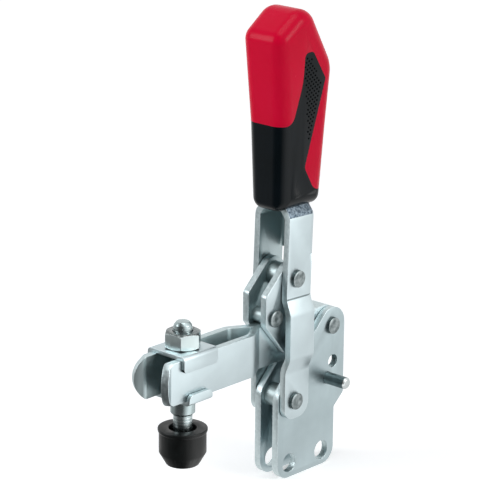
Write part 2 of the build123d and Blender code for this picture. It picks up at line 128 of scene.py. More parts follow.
# ---- node trees
class NodeBench:
    """Adds and feeds the nodes of one tree."""

    spacing: float = 180.0

    def __init__(self, tree: NodeTree) -> None:
        """Takes over a tree.

        Args:
            tree: the tree that is filled.
        """
        self.tree = tree

    def add(self, kind: str, feeds: Feeds | None = None, **values: object) -> Node:
        """Adds one node, lines it up after the last and feeds its inputs.

        Args:
            kind: the node's type name.
            feeds: what each input gets, by the input's name or number.
            values: properties of the node.

        Returns:
            The new node.
        """
        node = self.tree.nodes.new(kind)
        node.location = (self.spacing * len(self.tree.nodes), 0.0)
        for name, value in values.items():
            setattr(node, name, value)
        self.feed(node, feeds or {})
        return node

    def feed(self, node: Node, feeds: Feeds) -> None:
        """Links a node's inputs to other nodes or their sockets, or sets them to constants.

        Args:
            node: the node.
            feeds: what each input gets, by the input's name or number. A node stands for
                the first output that it has in use.
        """
        for key, value in feeds.items():
            if isinstance(value, Node):
                value = next(output for output in value.outputs if output.enabled)
            if isinstance(value, NodeSocket):
                self.tree.links.new(value, node.inputs[key])
            else:
                node.inputs[key].default_value = value

    def number(self, operation: str, *terms: object, clamp: bool = False) -> Node:
        """Sum of numbers, kept from 0 to 1 where it is clamped."""
        feeds = dict(enumerate(terms))
        return self.add("ShaderNodeMath", feeds, operation=operation, use_clamp=clamp)

    def vector(self, operation: str, *terms: object) -> Node:
        """Sum of vectors."""
        return self.add("ShaderNodeVectorMath", dict(enumerate(terms)), operation=operation)

    def group(self, tree: NodeTree, **sizes: object) -> Node:
        """Shared shader group with its own sizes."""
        return self.add("ShaderNodeGroup", sizes, node_tree=tree)

    def mix(self, factor: object, first: object, second: object, kind: str = "RGBA") -> Node:
        """Mix of two colours, or of another kind of value."""
        feeds = {"Factor": factor, "A": first, "B": second}
        return self.add("ShaderNodeMix", feeds, data_type=kind)

    def place(self) -> NodeSocket:
        """Object coordinates of the shaded point."""
        return self.add("ShaderNodeTexCoord").outputs["Object"]

    def socket(self, name: str, kind: str, way: str = "INPUT", value: object = None) -> str:
        """Adds a socket to the tree's interface.

        Args:
            name: the socket's name.
            kind: what it carries, the last word of its type's name.
            way: INPUT or OUTPUT.
            value: the default of an input.

        Returns:
            The socket's identifier.
        """
        kind = f"NodeSocket{kind}"
        made = self.tree.interface.new_socket(name, in_out=way, socket_type=kind)
        if value is not None:
            made.default_value = value
        return made.identifier


class SurfaceGroups:
    """Shader groups that several finishes share."""

    def __init__(self) -> None:
        """Builds every group once."""
        self.mottle = self._mottle()
        self.grain = self._grain()
        self.rubbed_edge = self._rubbed_edge()

    @staticmethod
    def _start(
        name: str, result: str, **sizes: object
    ) -> tuple[NodeBench, NodeOutputs, Node]:
        """Starts a shader group with named inputs and one number as its result.

        Args:
            name: the group's name.
            result: the name of its output.
            sizes: the default of each input, a number or a vector.

        Returns:
            The group's bench, the sockets that its inputs come out of and its last node.
        """
        bench = NodeBench(bpy.data.node_groups.new(name, "ShaderNodeTree"))
        for key, value in sizes.items():
            bench.socket(key, "Float" if isinstance(value, float) else "Vector", value=value)
        bench.socket(result, "Float", "OUTPUT")
        return bench, bench.add("NodeGroupInput").outputs, bench.add("NodeGroupOutput")

    def _mottle(self) -> NodeTree:
        """Broad, soft cloudiness.

        Returns:
            A group whose result is a mask from 0 to 1.
        """
        bench, given, last = self._start("mottle", "Mask", Scale=120.0, Contrast=0.5)
        cloud = bench.add(
            "ShaderNodeTexNoise",
            {"Vector": bench.place(), "Scale": given["Scale"], "Detail": 5.0},
        )
        middle, full_gain = 0.5, 4.0
        centred = bench.number("SUBTRACT", cloud, middle)
        gain = bench.number("MULTIPLY", given["Contrast"], full_gain)
        bench.feed(last, {"Mask": bench.number("MULTIPLY_ADD", centred, gain, middle, clamp=True)})
        return bench.tree

    def _grain(self) -> NodeTree:
        """Fine relief of a plated or moulded surface, drawn out along some axes.

        Returns:
            A group whose result is a height.
        """
        bench, given, last = self._start(
            "grain", "Height", Scale=1500.0, Stretch=(1.0, 1.0, 1.0)
        )
        ripple = bench.add("ShaderNodeTexNoise", {
            "Vector": bench.vector("MULTIPLY", bench.place(), given["Stretch"]),
            "Scale": given["Scale"], "Detail": 3.0, "Roughness": 0.45,
        })
        bench.feed(last, {"Height": ripple})
        return bench.tree

    def _rubbed_edge(self) -> NodeTree:
        """Edges, where handling and tumbling have rubbed the surface.

        Returns:
            A group whose result is a mask from 0 to 1.
        """
        bench, given, last = self._start("rubbed edge", "Mask", Radius=0.4 * MM, Gain=4.0)
        softened = bench.add("ShaderNodeBevel", {"Radius": given["Radius"]}, samples=4)
        sharp = bench.add("ShaderNodeNewGeometry").outputs["Normal"]
        agreed = bench.vector("DOT_PRODUCT", softened, sharp)
        away = bench.number("SUBTRACT", 1.0, agreed)
        bench.feed(last, {"Mask": bench.number("MULTIPLY", away, given["Gain"], clamp=True)})
        return bench.tree


# ---- finishes
@dataclass(frozen=True)
class Grain:
    """Fine relief of a surface, which a stretch under 1 draws out along an axis."""

    scale: float
    strength: float
    depth: float
    stretch: tuple[float, float, float] = (1.0, 1.0, 1.0)


@dataclass(frozen=True)
class Finish:
    """One finish: a clouded colour, a varied roughness, a fine relief and rubbed edges."""

    name: str
    slot: Slot
    deep: Colour
    pale: Colour
    rubbed: Colour
    smooth: float
    rough: float
    cloud_scale: float
    grain: Grain
    metallic: float = 0.0
    cloud_contrast: float = 0.4
    edge_radius: float = 0.4 * MM
    edge_gain: float = 3.0
    specular: float = 0.5

    def material(self, groups: SurfaceGroups) -> Material:
        """Builds the finish's material.

        Args:
            groups: the shared shader groups.

        Returns:
            The material, which is made only once.
        """
        made = bpy.data.materials.get(self.name)
        if made:
            return made
        made = bpy.data.materials.new(self.name)
        made.use_nodes = True
        bench = NodeBench(made.node_tree)
        cloud = bench.group(groups.mottle, Scale=self.cloud_scale, Contrast=self.cloud_contrast)
        edge = bench.group(groups.rubbed_edge, Radius=self.edge_radius, Gain=self.edge_gain)
        relief = bench.group(groups.grain, Scale=self.grain.scale, Stretch=self.grain.stretch)
        body = bench.mix(cloud, (*self.deep, 1.0), (*self.pale, 1.0))
        gloss = bench.add(
            "ShaderNodeMapRange", {"Value": cloud, "To Min": self.smooth, "To Max": self.rough}
        )
        bump = bench.add("ShaderNodeBump", {
            "Strength": self.grain.strength, "Distance": self.grain.depth, "Height": relief,
        })
        bench.feed(made.node_tree.nodes["Principled BSDF"], {
            "Metallic": self.metallic, "Specular IOR Level": self.specular, "Roughness": gloss,
            "Base Color": bench.mix(edge, body, (*self.rubbed, 1.0)), "Normal": bump,
        })
        return made


PLATED_SHEET = Finish(
    "plated sheet", Slot.SHEET,
    deep=(0.515, 0.60, 0.625), pale=(0.60, 0.695, 0.72), rubbed=(0.78, 0.86, 0.87),
    smooth=0.32, rough=0.44, cloud_scale=90.0, grain=Grain(1400.0, 0.20, 0.06 * MM), metallic=1.0,
)
BASE_SHEET = replace(
    PLATED_SHEET, name="plated base sheet", deep=(0.40, 0.485, 0.505), pale=(0.49, 0.585, 0.61)
)
# Darker copy of the plated sheet: painted shade on the inner faces of the link plates and arm
# bars, and on the lever's inside and front-turned faces.
INNER_SHADE_SHEET = replace(
    PLATED_SHEET, name="plated inner face", deep=(0.40, 0.485, 0.50), pale=(0.50, 0.59, 0.60)
)
SHEARED_EDGE = replace(
    PLATED_SHEET, name="sheared edge",
    deep=(0.46, 0.55, 0.565), pale=(0.64, 0.73, 0.745), rubbed=(0.82, 0.89, 0.90),
    smooth=0.34, rough=0.52, cloud_scale=800.0, cloud_contrast=0.5,
    grain=Grain(2600.0, 0.4, 0.08 * MM, (1.0, 0.35, 1.0)),
)
# Dark copy of the sheared edge: painted shade on the lever's crease facet.
CREASE_SHADE = replace(
    SHEARED_EDGE, name="press crease",
    deep=(0.12, 0.15, 0.16), pale=(0.24, 0.29, 0.30), rubbed=(0.40, 0.46, 0.47),
)
SHADED_EDGE = replace(
    SHEARED_EDGE, name="shaded edge",
    deep=(0.02, 0.028, 0.03), pale=(0.06, 0.075, 0.08), rubbed=(0.12, 0.15, 0.16),
)
# Darker, strongly mottled copy of the sheet for the upward faces above the lever's neck.
DARK_NECK_SHEET = replace(
    PLATED_SHEET, name="stretched sheet",
    deep=(0.040, 0.062, 0.085), pale=(0.25, 0.31, 0.36), rubbed=(0.60, 0.67, 0.70),
    smooth=0.36, rough=0.56, cloud_scale=1300.0, cloud_contrast=0.9,
    grain=Grain(1100.0, 0.8, 0.18 * MM),
)
TURNED_STEEL = Finish(
    "turned steel", Slot.TURNED,
    deep=(0.34, 0.42, 0.425), pale=(0.50, 0.59, 0.60), rubbed=(0.84, 0.90, 0.91),
    smooth=0.20, rough=0.30, cloud_scale=200.0, cloud_contrast=0.3, metallic=1.0,
    grain=Grain(1800.0, 0.3, 0.05 * MM, (0.15, 0.15, 1.0)),
)
NUT_FLAT = replace(
    TURNED_STEEL, name="nut flats", deep=(0.48, 0.565, 0.56), pale=(0.62, 0.71, 0.715),
    smooth=0.26, rough=0.36, grain=Grain(1800.0, 0.3, 0.05 * MM),
)
# Dark copy of the nut's steel: painted shade on the nut's top and bottom faces.
NUT_FACE_SHADE = replace(
    TURNED_STEEL, name="faced steel", deep=(0.09, 0.11, 0.11), pale=(0.28, 0.32, 0.32),
    cloud_scale=700.0, cloud_contrast=0.8, grain=Grain(1800.0, 0.3, 0.05 * MM),
)
BUSH_STEEL = replace(
    TURNED_STEEL, name="satin bush steel", deep=(0.38, 0.46, 0.465), pale=(0.48, 0.56, 0.565),
    smooth=0.42, rough=0.54,
)
STAKED_STEEL = replace(
    TURNED_STEEL, name="staked rivet steel",
    deep=(0.15, 0.18, 0.185), pale=(0.34, 0.385, 0.39), rubbed=(0.50, 0.55, 0.56),
    smooth=0.34, rough=0.52, cloud_scale=600.0, cloud_contrast=0.9,
    grain=Grain(1900.0, 0.5, 0.10 * MM),
)
# Dark copy of the rivet steel: painted shade on the sides of the rivet heads and shanks.
RIVET_SIDE_SHADE = replace(
    STAKED_STEEL, name="staked rivet side",
    deep=(0.025, 0.037, 0.038), pale=(0.13, 0.165, 0.17), rubbed=(0.30, 0.35, 0.36),
)
DARK_STEEL = Finish(
    "dark hardened steel", Slot.DARK,
    deep=(0.10, 0.13, 0.135), pale=(0.20, 0.25, 0.26), rubbed=(0.42, 0.48, 0.49),
    smooth=0.24, rough=0.38, cloud_scale=300.0, edge_gain=1.0, metallic=1.0,
    grain=Grain(1800.0, 0.3, 0.06 * MM, (1.0, 0.2, 1.0)),
)
# Pale copy of the pin's dark steel: a painted reflection of the white surround on the pin's ends.
PIN_TIP_REFLECTION = replace(
    DARK_STEEL, name="ground pin tip",
    deep=(0.50, 0.54, 0.545), pale=(0.64, 0.68, 0.685), rubbed=(0.84, 0.87, 0.88),
    smooth=0.18, rough=0.28, cloud_scale=400.0, edge_gain=3.0,
    grain=Grain(2500.0, 0.15, 0.04 * MM),
)
RED_GRIP = Finish(
    "red grip plastic", Slot.RED,
    deep=(0.66, 0.001, 0.028), pale=(0.72, 0.002, 0.040), rubbed=(0.74, 0.006, 0.05),
    smooth=0.22, rough=0.30, cloud_scale=60.0, grain=Grain(2400.0, 0.12, 0.04 * MM),
    edge_radius=0.5 * MM, edge_gain=1.5, specular=0.09,
)
BLACK_GRIP = Finish(
    "black grip plastic", Slot.BLACK,
    deep=(0.0012, 0.0034, 0.0042), pale=(0.0022, 0.0056, 0.0088), rubbed=(0.005, 0.009, 0.013),
    smooth=0.16, rough=0.24, cloud_scale=80.0, grain=Grain(3200.0, 0.25, 0.05 * MM),
    edge_radius=0.5 * MM, edge_gain=1.5, specular=0.17,
)
DOT_GRIP = replace(
    BLACK_GRIP, name="grip dot plastic",
    deep=(0.0008, 0.001, 0.001), pale=(0.0012, 0.0016, 0.0016),
    smooth=0.5, rough=0.6, specular=0.03,
)
CAP_RUBBER = Finish(
    "cap rubber", Slot.RUBBER,
    deep=(0.003, 0.004, 0.004), pale=(0.006, 0.008, 0.008), rubbed=(0.016, 0.020, 0.021),
    smooth=0.34, rough=0.46, cloud_scale=260.0, cloud_contrast=0.5,
    grain=Grain(2600.0, 0.3, 0.06 * MM), edge_radius=0.6 * MM, edge_gain=2.0, specular=0.30,
)


# ---- mesh work
def middle_of(node: str) -> Vector:
    """Middle of a CAD node's box."""
    low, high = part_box(node)
    return (low + high) / 2


def as_mesh(name: str, work: BMesh) -> Mesh:
    """Turns a working mesh into a mesh and frees it.

    Args:
        name: the mesh's name.
        work: the working mesh.

    Returns:
        The new mesh.
    """
    mesh = bpy.data.meshes.new(name)
    work.to_mesh(mesh)
    work.free()
    return mesh


def shade(mesh: Mesh, sharp_degrees: float = 38.0) -> None:
    """Shades a mesh smooth between its sharp edges.

    Args:
        mesh: the mesh.
        sharp_degrees: the angle from which an edge stays sharp.
    """
    work = bmesh.new()
    work.from_mesh(mesh)
    for face in work.faces:
        face.smooth = True
    for edge in work.edges:
        edge.smooth = edge.calc_face_angle(0.0) < math.radians(sharp_degrees)
    work.to_mesh(mesh)
    work.free()


def settle(obj: Object) -> None:
    """Replaces an object's mesh and modifiers by one plain mesh.

    Args:
        obj: the object.
    """
    bpy.context.view_layer.update()
    graph = bpy.context.evaluated_depsgraph_get()
    baked = bpy.data.meshes.new_from_object(
        obj.evaluated_get(graph), preserve_all_data_layers=True, depsgraph=graph
    )
    baked.name = obj.name
    obj.modifiers.clear()
    obj.data = baked


def new_object(
    name: str, mesh: Mesh, materials: Sequence[Material] = ()
) -> Object:
    """Links a mesh into the scene.

    Args:
        name: the object's name.
        mesh: its mesh.
        materials: its materials, in slot order.

    Returns:
        The new object, at the origin.
    """
    for material in materials:
        mesh.materials.append(material)
    obj = bpy.data.objects.new(name, mesh)
    bpy.context.scene.collection.objects.link(obj)
    return obj


def joined(name: str, *parts: Object) -> Object:
    """Joins several objects' meshes into the first object.

    Args:
        name: the name that the result takes.
        parts: the objects, all with the same materials.

    Returns:
        The joined object.
    """
    work = bmesh.new()
    for part in parts:
        work.from_mesh(part.data)
    first = parts[0]
    mesh = as_mesh(name, work)
    for material in first.data.materials:
        mesh.materials.append(material)
    for part in parts[1:]:
        bpy.data.objects.remove(part)
    first.data = mesh
    first.name = name
    shade(mesh)
    return first


def turned(
    profile: Sequence[tuple[float, float]], centre: Vector, axis: Vector, steps: int,
    work: BMesh | None = None,
) -> BMesh:
    """Revolves a profile into a closed skin.

    Args:
        profile: pairs of radius and distance along the axis, from one pole to the other.
        centre: the point that distances are counted from.
        axis: the unit axis of turning.
        steps: the number of facets round the axis.
        work: the working mesh that the skin is added to, or none for a new one.

    Returns:
        The working mesh, where the skin's faces look outwards.
    """
    pole = 1e-7
    side = axis.orthogonal().normalized()
    across = axis.cross(side)
    work = work or bmesh.new()
    rings = []
    for radius, along in profile:
        foot = centre + axis * along
        if radius < pole:
            rings.append([work.verts.new(foot)])
            continue
        turn = [math.tau * n / steps for n in range(steps)]
        rings.append([
            work.verts.new(foot + (side * math.cos(a) + across * math.sin(a)) * radius)
            for a in turn
        ])
    faces = []
    for low, high in zip(rings, rings[1:]):
        for n in range(steps):
            corners = [low[n % len(low)], low[(n + 1) % len(low)]]
            corners += [high[(n + 1) % len(high)], high[n % len(high)]]
            faces.append(work.faces.new(list(dict.fromkeys(corners))))
    bmesh.ops.recalc_face_normals(work, faces=faces)
    return work


def rounded(corners: Sequence[Corner], steps: int = 5) -> list[tuple[float, float]]:
    """Rounds the corners of a profile.

    Args:
        corners: radius, distance along the axis and rounding of each corner.
        steps: the number of facets in each rounding.

    Returns:
        The profile's points.
    """
    points = []
    for n, (radius, along, rounding) in enumerate(corners):
        here = Vector((radius, along))
        if rounding <= 0.0 or n in (0, len(corners) - 1):
            points.append(tuple(here))
            continue
        back = (Vector(corners[n - 1][:2]) - here).normalized()
        on = (Vector(corners[n + 1][:2]) - here).normalized()
        half = back.angle(on) / 2
        reach = rounding / math.tan(half)
        heart = here + (back + on).normalized() * (rounding / math.sin(half))
        first, last = here + back * reach - heart, here + on * reach - heart
        sweep = first.angle_signed(last)
        for k in range(steps + 1):
            turn = Matrix.Rotation(-sweep * k / steps, 2)
            points.append(tuple(heart + turn @ first))
    return points


@dataclass
class Bench:
    """What every sub-assembly needs: the shader groups, and how pieces are finished."""

    groups: SurfaceGroups
    edge_round: float = 0.22 * MM
    round_facets: int = 3
    rounded_from_degrees: float = 35.0
    flat_within_degrees: float = 0.4
    weld: float = 0.002 * MM
    made: list[str] = field(default_factory=list)

    def paint(self, finish: Finish) -> Material:
        """Material of a finish."""
        return finish.material(self.groups)

    def keep(self, obj: Object, body: Body, finish: Finish, *nodes: str) -> None:
        """Hangs a finished piece on its body and reports it.

        Args:
            obj: the piece.
            body: the body that it rides on.
            finish: its main finish; not used.
            nodes: the CAD nodes that it stands for.
        """
        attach(obj, body.value)
        if nodes:
            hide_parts(*nodes)
        self.made.append(obj.name)
        LOG.info("%s on %s, %d faces", obj.name, body.value, len(obj.data.polygons))

    def part(
        self, body: Body, node: str, made_by: str, finishes: Sequence[Finish],
        pick: FacePick | None = None, width: float | None = None,
    ) -> Object:
        """Makes a CAD node's piece: one joined skin whose sharp edges are rounded.

        Args:
            body: the body that it rides on.
            node: the CAD node that it stands for.
            made_by: how the real piece is made, which its name ends with.
            finishes: its finishes, the main one first.
            pick: tells from a face's normal and middle which of the finishes it has.
            width: the width of the rounding.

        Returns:
            The new piece.
        """
        work = bmesh.new()
        work.from_mesh(frame["nodes"][node].data)
        for layer in list(work.loops.layers.float_vector):
            work.loops.layers.float_vector.remove(layer)
        bmesh.ops.remove_doubles(work, verts=work.verts, dist=self.weld)
        bmesh.ops.dissolve_limit(
            work, angle_limit=math.radians(self.flat_within_degrees),
            verts=work.verts, edges=work.edges,
        )
        for face in work.faces:
            face.smooth = True
            face.material_index = pick(face.normal, face.calc_center_median()) if pick else 0
        name = f"{node}_{made_by}"
        obj = new_object(name, as_mesh(name, work), [self.paint(finish) for finish in finishes])
        rounding = obj.modifiers.new("edge rounding", "BEVEL")
        rounding.width = width or self.edge_round
        rounding.segments = self.round_facets
        rounding.limit_method = "ANGLE"
        rounding.angle_limit = math.radians(self.rounded_from_degrees)
        rounding.harden_normals = True
        rounding.use_clamp_overlap = True
        settle(obj)
        self.keep(obj, body, finishes[0], node)
        return obj


# ---- geometry trees
class ShapeTree(NodeBench):
    """A Geometry Nodes tree with named inputs, which always ends in one plain mesh."""

    def __init__(self, name: str, target: str = "", **sizes: float) -> None:
        """Starts a tree with a geometry input and output and its named inputs.

        Args:
            name: the tree's name.
            target: the name of an input for an object, where the tree has one.
            sizes: the defaults of the other inputs, with underscores for spaces.
        """
        super().__init__(bpy.data.node_groups.new(name, "GeometryNodeTree"))
        self.socket("Geometry", "Geometry")
        self.socket("Geometry", "Geometry", "OUTPUT")
        self.ids = {"Material": self.socket("Material", "Material")}
        if target:
            self.ids[target] = self.socket(target, "Object")
        for key, value in sizes.items():
            self.ids[key] = self.socket(key.replace("_", " "), "Float", value=value)
        self.given = self.add("NodeGroupInput").outputs
        self.last = self.add("NodeGroupOutput")

    def repeat(
        self, points: object, shape: object, axis: str, radius: object, height: object
    ) -> None:
        """Sets a shape of unit size on each point and ends the tree with the result.

        Args:
            points: the points, each of which holds the direction that it faces.
            shape: the shape.
            axis: which of the shape's axes is turned to that direction.
            radius: the shape's radius round that axis.
            height: the shape's height along that axis.
        """
        facing = self.add(
            "GeometryNodeInputNamedAttribute", {"Name": FACING}, data_type="FLOAT_VECTOR"
        )
        aim = self.add("FunctionNodeAlignRotationToVector", {"Vector": facing}, axis=axis)
        size = {"X": radius, "Y": radius, "Z": radius, axis: height}
        self.close(self.add("GeometryNodeInstanceOnPoints", {
            "Points": points, "Instance": shape, "Rotation": aim,
            "Scale": self.add("ShaderNodeCombineXYZ", size),
        }))

    def close(self, made: Node) -> None:
        """Realizes the result, gives it its material and ends the tree.

        Args:
            made: the node that makes the tree's geometry.
        """
        real = self.add("GeometryNodeRealizeInstances", {0: made})
        dressed = self.add(
            "GeometryNodeSetMaterial", {"Geometry": real, "Material": self.given["Material"]}
        )
        self.feed(self.last, {0: dressed})

    def run(self, name: str, mesh: Mesh, material: Material, **sizes: object) -> Object:
        """Runs the tree once on a mesh.

        Args:
            name: the new object's name.
            mesh: the mesh that the tree starts from.
            material: the material of the result.
            sizes: the inputs' values, with underscores for spaces.

        Returns:
            An object with the result as its plain mesh.
        """
        obj = new_object(name, mesh, [material])
        step = obj.modifiers.new(self.tree.name, "NODES")
        step.node_group = self.tree
        for key, value in {"Material": material, **sizes}.items():
            step[self.ids[key]] = value
        settle(obj)
        obj.data.materials.clear()
        obj.data.materials.append(material)
        shade(obj.data)
        return obj


@dataclass
class Rivets:
    """Rivets along Y, with staked heads that a tree sets on both ends of each."""

    bench: Bench
    head_radius: float = 3.4 * MM
    head_height: float = 1.4 * MM
    pivot_shank: float = 3.0 * MM
    stop_shank: float = 2.2 * MM
    shank_facets: int = 40
    head_facets: int = 56
    head_corners: tuple[Corner, ...] = (
        (0.0, -0.3, 0.0), (0.80, -0.3, 0.0), (0.80, 0.0, 0.0), (1.0, 0.0, 0.03),
        (1.0, 0.82, 0.10), (0.84, 1.0, 0.12), (0.42, 0.97, 0.10), (0.26, 0.90, 0.08),
        (0.0, 0.88, 0.0),
    )
    tree: ShapeTree = field(init=False)
    head: Object = field(init=False)

    def __post_init__(self) -> None:
        """Builds the head, with unit radius and height towards +Y, and its tree."""
        pattern = turned(rounded(self.head_corners), Vector(), AXIS_Y, self.head_facets)
        self.head = new_object("rivet head pattern", as_mesh("rivet head", pattern))
        self.tree = tree = ShapeTree(
            "rivet heads", "Head", Head_Radius=self.head_radius, Head_Height=self.head_height
        )
        given = tree.given
        shape = tree.add("GeometryNodeObjectInfo", {"Object": given["Head"]}).outputs["Geometry"]
        tree.repeat(given["Geometry"], shape, "Y", given["Head Radius"], given["Head Height"])

    def row(self, name: str, body: Body, shanks: dict[str, float]) -> None:
        """Makes the rivets of one body as one piece.

        Args:
            name: the piece's name.
            body: the body that holds the rivets.
            shanks: the shank's radius of each rivet, by its CAD node.
        """
        seats, rods = bmesh.new(), bmesh.new()
        facing = seats.verts.layers.float_vector.new(FACING)
        for node, radius in shanks.items():
            low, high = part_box(node)
            middle = (low + high) / 2
            start, stop = low.y + self.head_height, high.y - self.head_height
            for way in SIDES.values():
                seat = seats.verts.new(Vector((middle.x, way * stop, middle.z)))
                seat[facing] = (0.0, way, 0.0)
            turned(
                [(0.0, start), (radius, start), (radius, stop), (0.0, stop)],
                Vector((middle.x, 0.0, middle.z)), AXIS_Y, self.shank_facets, rods,
            )
        steel = self.bench.paint(STAKED_STEEL)
        heads = self.tree.run("rivet heads", as_mesh("seats", seats), steel, Head=self.head)
        whole = joined(name, new_object("shanks", as_mesh("shanks", rods), [steel]), heads)
        # Faces not turned along Y, the heads' sides and the shanks, take the painted shade.
        whole.data.materials.append(self.bench.paint(RIVET_SIDE_SHADE))
        for face in whole.data.polygons:
            face.material_index = int(abs(face.normal.y) < MOSTLY)
        self.bench.keep(whole, body, STAKED_STEEL, *shanks)

    def clear(self) -> None:
        """Removes the pattern once every row is made."""
        bpy.data.objects.remove(self.head)


# ---- sub-assemblies
def sheet_face(normal: Vector, middle: Vector, way: float) -> int:
    """Picks the finish of a face of a plate or bar that stands along X and Z.

    Args:
        normal: the face's normal.
        middle: the face's middle.
        way: the side of the clamp that the sheet is on.

    Returns:
        1 for a sheared face, 2 for the inner side, which the link and arm paint in shade, and 0
        for the outer.
    """
    if abs(normal.z) > LEANING or abs(normal.x) > STEEPLY:
        return 1
    return 2 * int(normal.y * way < 0.0)


@dataclass
class BaseAssembly:
    """Base plates, their bush, rivets and the stop pin."""

    bench: Bench
    rivets: Rivets
    pin_tip: float = 0.9 * MM

    def build(self) -> None:
        """Builds every piece of the base."""
        for side, way in SIDES.items():
            self.bench.part(
                Body.BASE, f"base_plate_{side}", "pressed",
                [BASE_SHEET, SHEARED_EDGE, BASE_SHEET], partial(sheet_face, way=way),
            )
        self.bench.part(Body.BASE, "base_bush", "turned", [BUSH_STEEL])
        self.rivets.row("base_rivets", Body.BASE, {
            "lever_pivot_rivet": self.rivets.pivot_shank,
            "arm_pivot_rivet": self.rivets.pivot_shank,
        })
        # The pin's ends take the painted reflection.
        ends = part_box("stop_pin")[1].y - self.pin_tip
        self.bench.part(
            Body.BASE, "stop_pin", "ground", [DARK_STEEL, PIN_TIP_REFLECTION],
            lambda normal, middle: int(abs(middle.y) > ends),
        )


